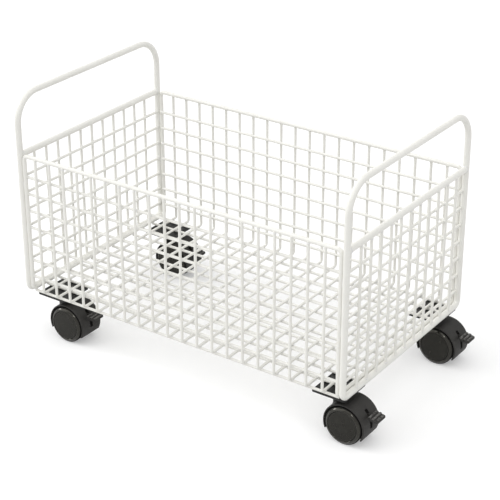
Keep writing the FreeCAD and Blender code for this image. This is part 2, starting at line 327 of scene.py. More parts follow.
def use_group(tree, group, **values):
    """A shared group placed in a material with its own values."""
    made = tree.nodes.new("ShaderNodeGroup")
    made.node_tree = group
    for label, value in values.items():
        made.inputs[label.replace("_", " ")].default_value = value
    return made


def finish_material(name):
    """A new material with an empty Principled shader, and its nodes."""
    material = bpy.data.materials.new(name)
    material.use_nodes = True
    tree = material.node_tree
    return material, tree, tree.nodes["Principled BSDF"]


def feed(tree, shader, colour, roughness, height, strength, distance):
    """Gives the shader its colour, its roughness and a bump from a height."""
    bump = add_node(tree, "ShaderNodeBump", {"Height": height, "Strength": strength, "Distance": distance})
    tree.links.new(colour, shader.inputs["Base Color"])
    tree.links.new(roughness, shader.inputs["Roughness"])
    tree.links.new(bump.outputs["Normal"], shader.inputs["Normal"])


def ivory_coat():
    """Satin powder coat on the wire: a warm white with a faint orange peel."""
    material, tree, shader = finish_material("ivory_coat")
    tint = use_group(tree, tint_group, Tint=(0.83, 0.823, 0.782, 1), Second_Tint=(0.80, 0.792, 0.748, 1),
                     Patch_Scale=26.0)
    grain = use_group(tree, grain_group, Grain_Scale=750.0, Wander_Scale=45.0, Low_Roughness=0.34,
                      High_Roughness=0.5)
    feed(tree, shader, tint.outputs["Colour"], grain.outputs["Roughness"], grain.outputs["Height"],
         strength=0.22, distance=0.3 * MM)
    return material


def moulded_black():
    """Satin black moulding of the hood and pedal, with grain, rubbed edges, rib tops lightened as shoe wear
    and painted highlight, and a film of dust.
    """
    material, tree, shader = finish_material("moulded_black")
    tint = use_group(tree, tint_group, Tint=(0.031, 0.0298, 0.028, 1), Second_Tint=(0.039, 0.0374, 0.035, 1),
                     Patch_Scale=70.0)
    grain = use_group(tree, grain_group, Grain_Scale=2400.0, Wander_Scale=140.0, Low_Roughness=0.48,
                      High_Roughness=0.6)
    rubbed = use_group(tree, rubbed_group, Amount=0.3, Break_Scale=260.0)
    dust = use_group(tree, dust_group, Amount=0.06, Fleck_Scale=700.0)
    # On the pedal's rib tops this lighter tint is partly a painted highlight
    worn = laid_over(tree, tint.outputs["Colour"], rubbed.outputs["Mask"], (0.13, 0.127, 0.121, 1))
    dusty = laid_over(tree, worn, dust.outputs["Mask"], dust_tint)
    shader.inputs["Specular IOR Level"].default_value = 0.17
    feed(tree, shader, dusty, grain.outputs["Roughness"], grain.outputs["Height"],
         strength=0.3, distance=0.12 * MM)
    return material


def wheel_black():
    """Wheel moulding: glossy face, a bead with a painted sheen above the face's, and a dull rubber tread with
    faint scuffs from the floor, its darker tone and weak reflection partly painted shade of the gap under the
    hood.
    """
    material, tree, shader = finish_material("wheel_black")
    tint = use_group(tree, tint_group, Tint=(0.009, 0.0088, 0.0078, 1),
                     Second_Tint=(0.013, 0.0128, 0.0112, 1), Patch_Scale=90.0)
    grain = use_group(tree, grain_group, Grain_Scale=2000.0, Wander_Scale=120.0, Low_Roughness=0.18,
                      High_Roughness=0.28)
    rubbed = use_group(tree, rubbed_group, Amount=0.25, Break_Scale=220.0)
    tread = attribute(tree, "tread")
    bead = attribute(tree, "bead")
    # Painted shade: the tread's tone is darker than the face, partly dull rubber with faint scuffs and partly
    # the shade of its gap under the hood
    tread_tone_and_painted_shade = ranged(tree, noise(tree, 320.0, 5.0), 0.42, 0.7, 0.003, 0.009)
    worn = laid_over(tree, tint.outputs["Colour"], rubbed.outputs["Mask"], (0.1, 0.1, 0.097, 1))
    colour_with_shaded_tread = laid_over(tree, worn, tread, tread_tone_and_painted_shade)
    smooth = maths(tree, "MULTIPLY_ADD", bead, -0.1, grain.outputs["Roughness"])
    rough = maths(tree, "MULTIPLY_ADD", tread, 0.6, smooth)
    # Painted sheen on the bead, which reflects more than the face; the tread reflects little, partly as dull
    # rubber and partly as painted shade
    painted_bead_sheen = ranged(tree, bead, 0.0, 1.0, 0.26, 0.44)
    painted_sheen_and_shade_level = ranged(tree, tread, 0.0, 1.0, painted_bead_sheen, 0.06)
    shader.inputs["Specular Tint"].default_value = (1.0, 0.965, 0.85, 1)
    tree.links.new(painted_sheen_and_shade_level, shader.inputs["Specular IOR Level"])
    feed(tree, shader, colour_with_shaded_tread, rough, grain.outputs["Height"], strength=0.2, distance=0.1 * MM)
    return material


def plate_black():
    """Black painted steel of the mounting plates and the swivel pins."""
    material, tree, shader = finish_material("plate_black")
    tint = use_group(tree, tint_group, Tint=(0.008, 0.008, 0.0078, 1), Second_Tint=(0.012, 0.0118, 0.0114, 1),
                     Patch_Scale=60.0)
    grain = use_group(tree, grain_group, Grain_Scale=1300.0, Wander_Scale=90.0, Low_Roughness=0.32,
                      High_Roughness=0.48)
    rubbed = use_group(tree, rubbed_group, Amount=0.2, Break_Scale=240.0)
    dust = use_group(tree, dust_group, Amount=0.05, Fleck_Scale=600.0)
    worn = laid_over(tree, tint.outputs["Colour"], rubbed.outputs["Mask"], (0.1, 0.098, 0.095, 1))
    dusty = laid_over(tree, worn, dust.outputs["Mask"], dust_tint)
    shader.inputs["Specular IOR Level"].default_value = 0.3
    feed(tree, shader, dusty, grain.outputs["Roughness"], grain.outputs["Height"],
         strength=0.25, distance=0.15 * MM)
    return material


def drawn_steel():
    """Bright drawn steel of the axles and pins, with fine lines along the pin."""
    material, tree, shader = finish_material("drawn_steel")
    tint = use_group(tree, tint_group, Tint=(0.56, 0.56, 0.57, 1), Second_Tint=(0.47, 0.47, 0.475, 1),
                     Patch_Scale=150.0)
    grain = use_group(tree, grain_group, Grain_Scale=1800.0, Wander_Scale=300.0, Low_Roughness=0.24,
                      High_Roughness=0.4)
    where = add_node(tree, "ShaderNodeTexCoord")
    drawn = add_node(tree, "ShaderNodeMapping", {
        "Vector": where.outputs["Object"], "Scale": (1.0, 0.04, 1.0)})
    lines = add_node(tree, "ShaderNodeTexNoise", {
        "Vector": drawn.outputs["Vector"], "Scale": 4000.0, "Detail": 2.0})
    shader.inputs["Metallic"].default_value = 1.0
    feed(tree, shader, tint.outputs["Colour"], grain.outputs["Roughness"], lines.outputs[0],
         strength=0.15, distance=0.05 * MM)
    return material


ivory = ivory_coat()
black = moulded_black()
wheel_finish = wheel_black()
plate_finish = plate_black()
steel = drawn_steel()


# Geometry node trees for the wires, rods and welds

def growing_tree(name, inputs):
    """An empty geometry tree with named inputs, and its way in and out."""
    tree = bpy.data.node_groups.new(name, "GeometryNodeTree")
    tree.is_modifier = True
    for label, kind in inputs:
        tree.interface.new_socket(label, in_out="INPUT", socket_type=kind)
    tree.interface.new_socket("Geometry", in_out="OUTPUT", socket_type="NodeSocketGeometry")
    return tree, tree.nodes.new("NodeGroupInput"), tree.nodes.new("NodeGroupOutput")


def close_tree(tree, enter, leave, instances):
    """The end of a tree: one real, smooth mesh in its finish."""
    real = add_node(tree, "GeometryNodeRealizeInstances", {0: instances})
    smooth = add_node(tree, "GeometryNodeSetShadeSmooth", {0: real.outputs[0]})
    coated = add_node(tree, "GeometryNodeSetMaterial", {
        "Geometry": smooth.outputs[0], "Material": enter.outputs["Finish"]})
    tree.links.new(coated.outputs[0], leave.inputs[0])


rod_inputs = [
    ("Rod Radius", "NodeSocketFloat"), ("Sides", "NodeSocketInt"), ("Count", "NodeSocketInt"),
    ("Step", "NodeSocketVector"), ("Finish", "NodeSocketMaterial")]


def swept_rods(tree, enter, curve):
    """Round rods along a curve, repeated a step apart."""
    section = add_node(tree, "GeometryNodeCurvePrimitiveCircle", {
        "Resolution": enter.outputs["Sides"], "Radius": enter.outputs["Rod Radius"]})
    rod = add_node(tree, "GeometryNodeCurveToMesh", {
        "Curve": curve, "Profile Curve": section.outputs[0], "Fill Caps": True})
    line = add_node(tree, "GeometryNodeMeshLine", {
        "Count": enter.outputs["Count"], "Offset": enter.outputs["Step"]}, mode="OFFSET")
    copies = add_node(tree, "GeometryNodeInstanceOnPoints", {
        "Points": line.outputs[0], "Instance": rod.outputs[0]})
    return copies.outputs[0]


def bent_rod_tree():
    """Rods along a path of edges, rounded at its corners by their own bend."""
    tree, enter, leave = growing_tree("bent rods", [
        ("Path", "NodeSocketGeometry"), ("Bend Steps", "NodeSocketInt")] + rod_inputs)
    run = add_node(tree, "GeometryNodeMeshToCurve", {0: enter.outputs["Path"]})
    bend = add_node(tree, "GeometryNodeInputNamedAttribute", {"Name": "bend"}, data_type="FLOAT")
    bent = add_node(tree, "GeometryNodeFilletCurve", {
        0: run.outputs[0], "Count": enter.outputs["Bend Steps"], "Radius": enabled(bend.outputs, "Attribute"),
        "Limit Radius": True}, mode="POLY")
    close_tree(tree, enter, leave, swept_rods(tree, enter, bent.outputs[0]))
    return tree


def straight_rod_tree():
    """Straight rods between two points."""
    tree, enter, leave = growing_tree("straight rods", [
        ("From", "NodeSocketVector"), ("To", "NodeSocketVector")] + rod_inputs)
    run = add_node(tree, "GeometryNodeCurvePrimitiveLine", {
        "Start": enter.outputs["From"], "End": enter.outputs["To"]}, mode="POINTS")
    close_tree(tree, enter, leave, swept_rods(tree, enter, run.outputs[0]))
    return tree


def weld_tree():
    """Weld nuggets on a grid of joints, each a little larger or smaller than the next."""
    tree, enter, leave = growing_tree("weld nuggets", [
        ("First Joint", "NodeSocketVector"), ("Columns", "NodeSocketInt"),
        ("Column Step", "NodeSocketVector"), ("Rows", "NodeSocketInt"), ("Row Step", "NodeSocketVector"),
        ("Half Size", "NodeSocketVector"), ("Spread", "NodeSocketFloat"), ("Seed", "NodeSocketInt"),
        ("Finish", "NodeSocketMaterial")])
    columns = add_node(tree, "GeometryNodeMeshLine", {
        "Count": enter.outputs["Columns"], "Start Location": enter.outputs["First Joint"],
        "Offset": enter.outputs["Column Step"]}, mode="OFFSET")
    rows = add_node(tree, "GeometryNodeMeshLine", {
        "Count": enter.outputs["Rows"], "Offset": enter.outputs["Row Step"]}, mode="OFFSET")
    grid = add_node(tree, "GeometryNodeInstanceOnPoints", {
        "Points": columns.outputs[0], "Instance": rows.outputs[0]})
    joints = add_node(tree, "GeometryNodeRealizeInstances", {0: grid.outputs[0]})
    least = maths(tree, "SUBTRACT", 1.0, enter.outputs["Spread"])
    most = maths(tree, "ADD", 1.0, enter.outputs["Spread"])
    size = add_node(tree, "FunctionNodeRandomValue", {
        "Min": least, "Max": most, "Seed": enter.outputs["Seed"]}, data_type="FLOAT")
    scale = add_node(tree, "ShaderNodeVectorMath", {
        "Vector": enter.outputs["Half Size"], "Scale": enabled(size.outputs, "Value")}, operation="SCALE")
    nugget = add_node(tree, "GeometryNodeMeshUVSphere", {
        "Segments": nugget_segments, "Rings": nugget_rings, "Radius": 1.0})
    welds = add_node(tree, "GeometryNodeInstanceOnPoints", {
        "Points": joints.outputs[0], "Instance": nugget.outputs[0], "Scale": scale.outputs[0]})
    close_tree(tree, enter, leave, welds.outputs[0])
    return tree


bent_rods_grow = bent_rod_tree()
straight_rods_grow = straight_rod_tree()
welds_grow = weld_tree()


def evaluated_mesh(holder, name):
    """A plain mesh of what an object's modifiers make, with the modifiers then removed."""
    ready = holder.evaluated_get(bpy.context.evaluated_depsgraph_get())
    mesh = bpy.data.meshes.new_from_object(ready)
    mesh.name = name
    holder.modifiers.clear()
    return mesh


def grown_mesh(name, tree, values, path=None):
    """The mesh that a tree grows from the given inputs, along a path where it needs one."""
    holder = bpy.data.objects.new(name, path or bpy.data.meshes.new(name + "_seed"))
    bpy.context.scene.collection.objects.link(holder)
    grow = holder.modifiers.new("grow", "NODES")
    grow.node_group = tree
    for item in tree.interface.items_tree:
        if item.in_out == "INPUT" and item.name in values:
            grow[item.identifier] = values[item.name]
    mesh = evaluated_mesh(holder, name)
    bpy.data.objects.remove(holder)
    return mesh


def show(name, mesh, body, nodes=()):
    """A finished piece in the scene, riding on its body and standing for its CAD nodes."""
    piece = bpy.data.objects.new(name, mesh)
    bpy.context.scene.collection.objects.link(piece)
    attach(piece, body)
    if nodes:
        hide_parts(*nodes)
    return piece


def rod_path(name, points, bends, closed):
    """A path of edges through the corners of a rod, with the bend at each corner."""
    count = len(points)
    edges = [(k, (k + 1) % count) for k in range(count if closed else count - 1)]
    path = bpy.data.meshes.new(name + "_path")
    path.from_pydata(points, edges, [])
    path.attributes.new("bend", "FLOAT", "POINT").data.foreach_set("value", bends)
    return path


def bent_rods(name, nodes, points, bends, radius, sides, closed=False, count=1, step=(0, 0, 0)):
    """Bent rods of the basket, through the given corners, a step apart."""
    mesh = grown_mesh(name, bent_rods_grow, {
        "Bend Steps": bend_steps, "Rod Radius": radius, "Sides": sides, "Count": count, "Step": step,
        "Finish": ivory}, rod_path(name, points, bends, closed))
    show(name, mesh, "basket", nodes)


def straight_rods(name, node, start, end, radius, sides, count=1, step=(0, 0, 0)):
    """Straight rods of the basket between two points, a step apart."""
    mesh = grown_mesh(name, straight_rods_grow, {
        "From": start, "To": end, "Rod Radius": radius, "Sides": sides, "Count": count, "Step": step,
        "Finish": ivory})
    show(name, mesh, "basket", [node])


weld_seeds = itertools.count(1)


def weld_mesh(first, half_size, columns=1, column_step=(0, 0, 0), rows=1, row_step=(0, 0, 0)):
    """The mesh of weld nuggets on a grid of joints."""
    return grown_mesh("weld", welds_grow, {
        "First Joint": first, "Columns": columns, "Column Step": column_step, "Rows": rows,
        "Row Step": row_step, "Half Size": half_size, "Spread": nugget_spread, "Seed": next(weld_seeds),
        "Finish": ivory})


def joined(name, meshes):
    """One mesh out of several that share a finish."""
    whole = bmesh.new()
    for part in meshes:
        whole.from_mesh(part)
    mesh = bpy.data.meshes.new(name)
    whole.to_mesh(mesh)
    whole.free()
    mesh.materials.append(meshes[0].materials[0])
    return mesh


# Lines of the basket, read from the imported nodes

def middle(node, axis):
    """The middle of a node's box along one axis."""
    low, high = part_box(node)
    return (low[axis] + high[axis]) / 2


cross_low, cross_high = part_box("floor_cross_wires")
wire_radius = (cross_high[2] - cross_low[2]) / 2
cross_z = middle("floor_cross_wires", 2)
first_x = cross_low[0] + wire_radius
last_x = cross_high[0] - wire_radius
pitch_x = (last_x - first_x) / (side_uprights - 1)
basket_x = (first_x + last_x) / 2

end_low, end_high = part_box("left_end_upright_wires")
first_y = end_low[1] + wire_radius
pitch_y = (end_high[1] - end_low[1] - 2 * wire_radius) / (end_uprights - 1)

long_low, long_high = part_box("floor_long_wires")
long_z = middle("floor_long_wires", 2)
long_first_y = long_low[1] + wire_radius
long_pitch = (long_high[1] - long_low[1] - 2 * wire_radius) / (floor_wires - 1)

rows_low, rows_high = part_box("left_end_row_wires")
low_row = rows_low[2] + wire_radius
top_row = rows_high[2] - wire_radius
row_pitch = (top_row - low_row) / (mesh_rows - 1)

side_low, side_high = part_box("front_side_frame")
frame_radius = (side_high[1] - side_low[1]) / 2
frame_y = abs(middle("front_side_frame", 1))
rim_z = side_high[2] - frame_radius
leg_out = side_high[0] - frame_radius - basket_x
base_z = middle("left_end_base_wire", 2)

hoop_low, hoop_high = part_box("left_end_hoop")
hoop_radius = (hoop_high[0] - hoop_low[0]) / 2
rail_z = hoop_low[2] + hoop_radius
handle_z = hoop_high[2] - hoop_radius
hoop_out = basket_x - middle("left_end_hoop", 0)

left_leg = basket_x - leg_out
right_leg = basket_x + leg_out
upright_y = frame_y + wire_radius
row_y = frame_y - wire_radius


def basket_rods():
    """Hoops, crossbars, and the frame wire that runs round both rims and down under both ends."""
    for end, side in (("left", -1), ("right", 1)):
        x = basket_x + side * hoop_out
        loop = [(x, -frame_y, rail_z), (x, frame_y, rail_z), (x, frame_y, handle_z), (x, -frame_y, handle_z)]
        bent_rods("coated_" + end + "_hoop", [end + "_end_hoop"], loop,
                  [rail_bend, rail_bend, handle_bend, handle_bend], hoop_radius, thick_sides, closed=True)
        straight_rods("coated_" + end + "_crossbar", end + "_end_crossbar", (x, -frame_y, rim_z),
                      (x, frame_y, rim_z), hoop_radius, thick_sides)
    loop = [(left_leg, -frame_y, rim_z), (right_leg, -frame_y, rim_z),
            (right_leg, -frame_y, base_z), (right_leg, frame_y, base_z),
            (right_leg, frame_y, rim_z), (left_leg, frame_y, rim_z),
            (left_leg, frame_y, base_z), (left_leg, -frame_y, base_z)]
    nodes = ["front_side_frame", "back_side_frame", "left_end_base_wire", "right_end_base_wire"]
    bent_rods("coated_frame_wire", nodes, loop, [frame_bend] * len(loop), frame_radius, thick_sides,
              closed=True)


def basket_wires():
    """The mesh wires of the walls and floor."""
    hairpin = [(first_x, -upright_y, rim_z), (first_x, -upright_y, cross_z),
               (first_x, upright_y, cross_z), (first_x, upright_y, rim_z)]
    bent_rods("bent_mesh_wires", ["front_upright_wires", "floor_cross_wires", "back_upright_wires"], hairpin,
              [0.0, wire_bend, wire_bend, 0.0], wire_radius, thin_sides, count=side_uprights,
              step=(pitch_x, 0, 0))
    up = (0, 0, row_pitch)
    for face, front in (("front", -1), ("back", 1)):
        y = front * row_y
        straight_rods("coated_" + face + "_row_wires", face + "_row_wires", (left_leg, y, low_row),
                      (right_leg, y, low_row), wire_radius, thin_sides, mesh_rows, up)
    straight_rods("coated_floor_long_wires", "floor_long_wires", (left_leg, long_first_y, long_z),
                  (right_leg, long_first_y, long_z), wire_radius, thin_sides, floor_wires, (0, long_pitch, 0))
    for end in ("left", "right"):
        node = end + "_end_upright_wires"
        x = middle(node, 0)
        straight_rods("coated_" + end + "_end_uprights", node, (x, first_y, rail_z), (x, first_y, rim_z),
                      wire_radius, thin_sides, end_uprights, (0, pitch_y, 0))
        node = end + "_end_row_wires"
        x = middle(node, 0)
        straight_rods("coated_" + end + "_end_rows", node, (x, -frame_y, low_row), (x, frame_y, low_row),
                      wire_radius, thin_sides, mesh_rows, up)


def side_welds(face, front):
    """Welds of one long wall: crossings, rim and legs."""
    flat = (nugget_reach, nugget_depth, nugget_reach)
    across = (pitch_x, 0, 0)
    up = (0, 0, row_pitch)
    y = front * frame_y
    row_end = leg_out - frame_radius
    parts = [
        weld_mesh((first_x, y, low_row), flat, side_uprights, across, mesh_rows, up),
        weld_mesh((first_x, front * upright_y, rim_z - frame_radius * frame_sink),
                  (nugget_reach * collar_swell, nugget_reach, nugget_depth), side_uprights, across),
    ]
    for side in (-1, 1):
        x = basket_x + side * row_end
        half = (nugget_depth, nugget_reach, nugget_reach)
        parts.append(weld_mesh((x, front * row_y, low_row), half, 1, across, mesh_rows, up))
    name = face + "_side_welds"
    show(name, joined(name, parts), "basket")


def floor_welds():
    """Welds of the floor: crossings, and the long wires under the frame wire of both ends."""
    middle_z = (cross_z + long_z) / 2
    flat = (nugget_reach, nugget_reach, nugget_depth)
    along = (0, long_pitch, 0)
    first = (first_x, long_first_y, middle_z)
    parts = [weld_mesh(first, flat, side_uprights, (pitch_x, 0, 0), floor_wires, along)]
    for side in (-1, 1):
        seat = (basket_x + side * leg_out, long_first_y, base_z - frame_radius)
        parts.append(weld_mesh(seat, flat, rows=floor_wires, row_step=along))
    show("floor_welds", joined("floor_welds", parts), "basket")


def end_welds(end, side):
    """Welds of one end: crossings, rail, crossbar, posts, and the beads between legs and posts."""
    x = basket_x + side * hoop_out
    upright_x = middle(end + "_end_upright_wires", 0)
    row_x = middle(end + "_end_row_wires", 0)
    up = (0, 0, row_pitch)
    across = (0, pitch_y, 0)
    collar = (nugget_reach, nugget_reach * collar_swell, nugget_depth)
    bar_collar = (hoop_radius * bar_collar_swell, nugget_depth, hoop_radius * bar_collar_swell)
    parts = [
        weld_mesh((x, first_y, low_row), (nugget_depth, nugget_reach, nugget_reach), end_uprights, across,
                  mesh_rows, up),
        weld_mesh((upright_x, first_y, rim_z - hoop_radius * hoop_sink), collar, end_uprights, across),
        weld_mesh((upright_x, first_y, rail_z + hoop_radius * hoop_sink), collar, end_uprights, across),
    ]
    seam_x = basket_x + side * (leg_out + frame_radius)
    seam_rise = (rim_z - base_z) / seam_welds
    for front in (-1, 1):
        post_face = front * (frame_y - hoop_radius * post_sink)
        parts.append(weld_mesh((row_x, post_face, low_row), (nugget_reach, nugget_depth, nugget_reach),
                               1, across, mesh_rows, up))
        parts.append(weld_mesh((x, post_face, rim_z), bar_collar))
        seam = (seam_x, front * frame_y, base_z + seam_rise * seam_start_share)
        parts.append(weld_mesh(seam, seam_weld_half, 1, across, seam_welds, (0, 0, seam_rise)))
    name = end + "_end_welds"
    show(name, joined(name, parts), "basket")


# Moulded and turned pieces of the casters

def at(place, x, y, z):
    """A point given from a place."""
    return (place[0] + x, place[1] + y, place[2] + z)


def polar(radius, degrees):
    """A point about the axle, as x and z."""
    turn = math.radians(degrees)
    return radius * math.cos(turn), radius * math.sin(turn)


def arc(radius, start, end):
    """Points along an arc about the axle, both ends counted."""
    steps = max(1, round(abs(end - start) / arc_step))
    return [polar(radius, start + (end - start) * k / steps) for k in range(steps + 1)]


def add_closed(mesh, rings):
    """Faces between rings of points, one after another, and over both ends."""
    faces = [mesh.faces.new(rings[0]), mesh.faces.new(rings[-1])]
    for near, far in zip(rings, rings[1:]):
        for k in range(len(near)):
            after = (k + 1) % len(near)
            faces.append(mesh.faces.new([near[k], near[after], far[after], far[k]]))
    return faces


def add_prism(mesh, place, outline, low_y, high_y):
    """A plate with the given outline in x and z, between two places along y."""
    rings = [[mesh.verts.new(at(place, x, y, z)) for x, z in outline] for y in (low_y, high_y)]
    return add_closed(mesh, rings)


def moulded(name, mesh, soften, finish):
    """A plain mesh from a built form, with small rounds on its edges and a note of which edges rub."""
    bmesh.ops.recalc_face_normals(mesh, faces=mesh.faces)
    rough = bpy.data.meshes.new(name + "_rough")
    mesh.to_mesh(rough)
    mesh.free()
    rough.materials.append(finish)
    rough.shade_smooth()
    holder = bpy.data.objects.new(name + "_holder", rough)
    bpy.context.scene.collection.objects.link(holder)
    if soften:
        bevel = holder.modifiers.new("rounds", "BEVEL")
        bevel.width = soften
        bevel.segments = soften_steps
        bevel.limit_method = "ANGLE"
        bevel.angle_limit = math.radians(soften_angle)
        bevel.use_clamp_overlap = True
    holder.modifiers.new("even shading", "WEIGHTED_NORMAL")
    made = evaluated_mesh(holder, name)
    bpy.data.objects.remove(holder)
    note_rubbed_edges(made)
    return made


def note_rubbed_edges(mesh):
    """Stores how far each point stands out as an edge, for the finishes that show wear."""
    total = [Vector() for _ in mesh.vertices]
    count = [0] * len(mesh.vertices)
    reach = [Vector() for _ in mesh.vertices]
    for face in mesh.polygons:
        for index in face.vertices:
            total[index] += face.normal
            count[index] += 1
            reach[index] += face.center - mesh.vertices[index].co
    rubbed = mesh.attributes.new("rubbed", "FLOAT", "POINT")
    for index in range(len(mesh.vertices)):
        spread = 1.0 - total[index].length / max(1, count[index])
        outward = reach[index].dot(total[index]) < 0
        rubbed.data[index].value = min(1.0, spread * rub_gain) if outward else 0.0


def hood_section(half_width, inner, outer):
    """The hood's wall as a closed outline in y and radius, and where the slot's two gaps are in it."""
    quarter = [polar(hood_edge_round, 90.0 * k / edge_steps) for k in range(edge_steps + 1)]
    edge = outer - hood_edge_round
    side = half_width - hood_edge_round
    left = [(-side - across, edge + rise) for across, rise in quarter]
    right = [(-y, radius) for y, radius in reversed(left)]
    outside = left + [(-slot_half, outer), (slot_half, outer)] + right
    inside = [(half_width, inner + hood_lip), (half_width - 2 * hood_lip, inner), (slot_half, inner)]
    inside += [(-y, radius) for y, radius in reversed(inside)]
    return outside + inside, len(left), len(outside) + 2


def add_hood_shell(mesh, place, half_width, inner, outer):
    """The arched wall over both wheels, open at the pedal's slot."""
    section, outer_gap, inner_gap = hood_section(half_width, inner, outer)
    angles = []
    for start, end in ((hood_front_angle, slot_low_angle), (slot_low_angle, slot_high_angle),
                       (slot_high_angle, hood_back_angle)):
        steps = max(1, round((end - start) / arc_step))
        angles += [start + (end - start) * k / steps for k in range(steps)]
    angles.append(hood_back_angle)
    rings = []
    for angle in angles:
        ring = []
        for y, radius in section:
            x, z = polar(radius, angle)
            ring.append(mesh.verts.new(at(place, x, y, z)))
        rings.append(ring)
    count = len(section)
    for near, far, angle in zip(rings, rings[1:], angles):
        in_slot = slot_low_angle <= angle < slot_high_angle - angle_hair
        for k in range(count):
            if in_slot and k in (outer_gap, inner_gap):
                continue
            after = (k + 1) % count
            mesh.faces.new([near[k], near[after], far[after], far[k]])
        if in_slot:
            for a, b in ((outer_gap, inner_gap + 1), (outer_gap + 1, inner_gap)):
                mesh.faces.new([near[a], near[b], far[b], far[a]])
    for angle in (slot_low_angle, slot_high_angle):
        ring = rings[min(range(len(angles)), key=lambda k: abs(angles[k] - angle))]
        mesh.faces.new([ring[outer_gap], ring[outer_gap + 1], ring[inner_gap], ring[inner_gap + 1]])
    mesh.faces.new(rings[0])
    mesh.faces.new(rings[-1])


def web_outline(reach, trail, with_pocket):
    """The outline of the web between the wheels, in x and z, cut back for the kingpin's head."""
    seat_angle = 180.0 - math.degrees(math.asin(kingpin_seat / reach))
    if with_pocket:
        points = arc(reach, hood_front_angle, slot_low_angle)
        points += arc(pocket_radius, slot_low_angle, pocket_angle)
        points += arc(reach, pocket_angle, seat_angle)
    else:
        points = arc(reach, hood_front_angle, seat_angle)
    seat_x = head_room - trail
    points.append((seat_x, kingpin_seat))
    points.append((seat_x, seat_x * math.tan(math.radians(hood_back_angle))))
    points += arc(axle_boss_radius, hood_back_angle, 360 + hood_front_angle)
    return points


def neck_ring(mesh, place, trail, radius, hood_radius, lift):
    """A ring about the kingpin, lifted off the hood's round, or off the axle's level at hood radius 0."""
    ring = []
    for k in range(neck_steps):
        x, y = polar(radius, 360.0 * k / neck_steps)
        base = math.sqrt(max(0.0, hood_radius ** 2 - (x - trail) ** 2))
        ring.append(mesh.verts.new(at(place, x - trail, y, base + lift)))
    return ring


def add_neck(mesh, place, trail, inner, outer):
    """The swivel neck: a round boss that flows out of the hood's top."""
    top = outer + boss_rise
    rings = [neck_ring(mesh, place, trail, neck_flare[0][0], (inner + outer) / 2, 0.0)]
    for radius, lift in neck_flare:
        rings.append(neck_ring(mesh, place, trail, radius, outer, lift))
    for set_in, drop in neck_edge:
        rings.append(neck_ring(mesh, place, trail, neck_radius - set_in, 0.0, top - drop))
    add_closed(mesh, rings)


def hood_piece(corner, place, trail):
    """The moulded hood of one caster, with its web, axle boss and neck."""
    low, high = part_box(corner + "_hood")
    half_width = (high[1] - low[1]) / 2
    outer = (high[0] - low[0]) / 2
    inner = outer - hood_wall
    reach = inner + hood_wall / 2
    mesh = bmesh.new()
    add_hood_shell(mesh, place, half_width, inner, outer)
    cheek = web_outline(reach, trail, False)
    add_prism(mesh, place, cheek, -web_half, -slot_half)
    add_prism(mesh, place, cheek, slot_half, web_half)
    add_prism(mesh, place, web_outline(reach, trail, True), -slot_half, slot_half)
    add_neck(mesh, place, trail, inner, outer)
    made = moulded(corner + "_moulded_hood", mesh, hood_soften, black)
    show(corner + "_moulded_hood", made, corner + "_hood", [corner + "_hood"])


def wheel_section(radius, inner, outer):
    """Half of a wheel's section as radius and offset from the caster's middle, from the face to the bore."""
    face = outer - face_recess
    flat = groove_radius - groove_half
    points = [(0.0, face + face_dome)]
    points += [(flat * share, face + face_dome * (1 - share ** 2)) for share in face_shares]
    points += [(groove_radius + shift, face - depth) for shift, depth in groove_floor]
    points += [(groove_radius + groove_half, outer - bead_foot), (crest_radius, outer)]
    at_r, at_y = crest_radius, outer
    for bend, low, high, steps in bead_arcs:
        for k in range(steps):
            before = math.radians(low + (high - low) * k / steps)
            after = math.radians(low + (high - low) * (k + 1) / steps)
            at_r += bend * (math.sin(after) - math.sin(before))
            at_y -= bend * (math.cos(before) - math.cos(after))
            points.append((at_r, at_y))
    shoulder = at_y - shoulder_drop
    tread_edge = shoulder - tread_drop
    points += [(at_r + shoulder_step, shoulder), (radius - tread_round, tread_edge)]
    for angle in tread_round_angles:
        back, out = polar(tread_round, angle)
        points.append((radius - tread_round + out, tread_edge - tread_round + back))
    points += [(radius, inner + inner_round), (radius - inner_ease, inner + inner_ease),
               (radius - inner_round, inner)]
    drum = radius - wheel_wall
    cavity = outer - wheel_wall
    points += [(drum, inner), (drum, cavity), (hub_radius, cavity), (hub_radius, inner), (axle_radius, inner),
               (axle_radius, inner + hub_depth), (0.0, inner + hub_depth)]
    return points


def wheel_piece(name, place, side):
    """One moulded wheel, turned about the axle."""
    low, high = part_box(name)
    radius = (high[2] - low[2]) / 2
    near = min(abs(low[1] - place[1]), abs(high[1] - place[1]))
    far = max(abs(low[1] - place[1]), abs(high[1] - place[1]))
    section = wheel_section(radius, near, far)
    mesh = bmesh.new()
    rings = []
    for r, offset in section:
        count = wheel_steps if r > 0 else 1
        rings.append([mesh.verts.new(at(place, *spread_point(r, offset * side, k))) for k in range(count)])
    for here, after in zip(rings, rings[1:]):
        for k in range(wheel_steps):
            beside = (k + 1) % wheel_steps
            loop = [here[k % len(here)], here[beside % len(here)],
                    after[beside % len(after)], after[k % len(after)]]
            mesh.faces.new(list(dict.fromkeys(loop)))
    made = moulded(name + "_moulding", mesh, 0.0, wheel_finish)
    made.set_sharp_from_angle(angle=math.radians(wheel_crease))
    away = [math.hypot(p.co.x - place[0], p.co.z - place[2]) for p in made.vertices]
    # Masks for the wheel's finish: the tread's darker, duller rubber with painted shade, and the bead's
    # painted sheen
    tread = made.attributes.new("tread", "FLOAT", "POINT")
    tread.data.foreach_set("value", [1.0 if r > radius - tread_start else 0.0 for r in away])
    bead = made.attributes.new("bead", "FLOAT", "POINT")
    bead.data.foreach_set("value", [1.0 if r > groove_radius + bead_margin else 0.0 for r in away])
    show(name + "_moulding", made, name, [name])


def spread_point(radius, offset, step):
    """A point of a turned piece, at a step round the axle."""
    x, z = polar(radius, 360.0 * step / wheel_steps)
    return x, offset, z


